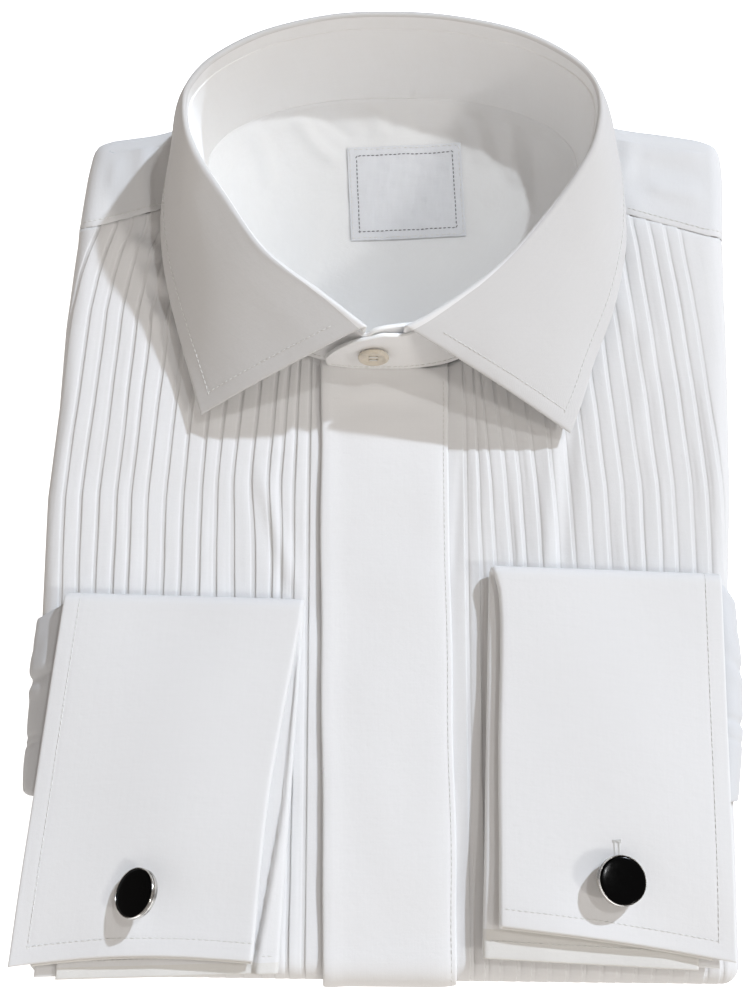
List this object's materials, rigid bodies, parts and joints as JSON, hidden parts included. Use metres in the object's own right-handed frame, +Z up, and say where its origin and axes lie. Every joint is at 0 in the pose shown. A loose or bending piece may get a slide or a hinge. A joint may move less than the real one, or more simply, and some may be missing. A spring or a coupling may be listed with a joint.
{
  "type": "folded long sleeve dress shirt",
  "caption": "White long sleeve dress shirt folded flat with its front up: pleated front, covered placket, turned down collar, and double cuffs closed with round cufflinks.",
  "frame": {"origin": "middle of the bounding box's underside, on the surface the folded shirt lies on", "axes": "+Z up out of the surface, with the shirt's front up; +Y up the shirt, from the lower fold to the collar; +X towards the wearer's left side, which is the viewer's right"},
  "size_m": [0.2654, 0.3583, 0.0631],
  "materials": {
    "white_cotton": "fine smooth plain weave cotton, pressed",
    "label_satin": "bare woven satin",
    "cream_resin": "polished, slightly pearly",
    "polished_silver": "polished metal",
    "black_enamel": "gloss enamel"
  },
  "bodies": {
    "root": {"folded_layers": "white_cotton", "front_right": "white_cotton", "front_left": "white_cotton", "placket": "white_cotton", "yoke": "white_cotton", "yoke_lining": "white_cotton", "label": "label_satin", "collar_stand": "white_cotton", "collar_fall": "white_cotton", "collar_button": "cream_resin", "cuff_right": "white_cotton", "cuff_left": "white_cotton", "sleeve_right": "white_cotton", "sleeve_left": "white_cotton", "cufflink_right_mount": "polished_silver", "cufflink_left_mount": "polished_silver", "cufflink_right_face": "black_enamel", "cufflink_left_face": "black_enamel"}
  },
  "joints": []
}
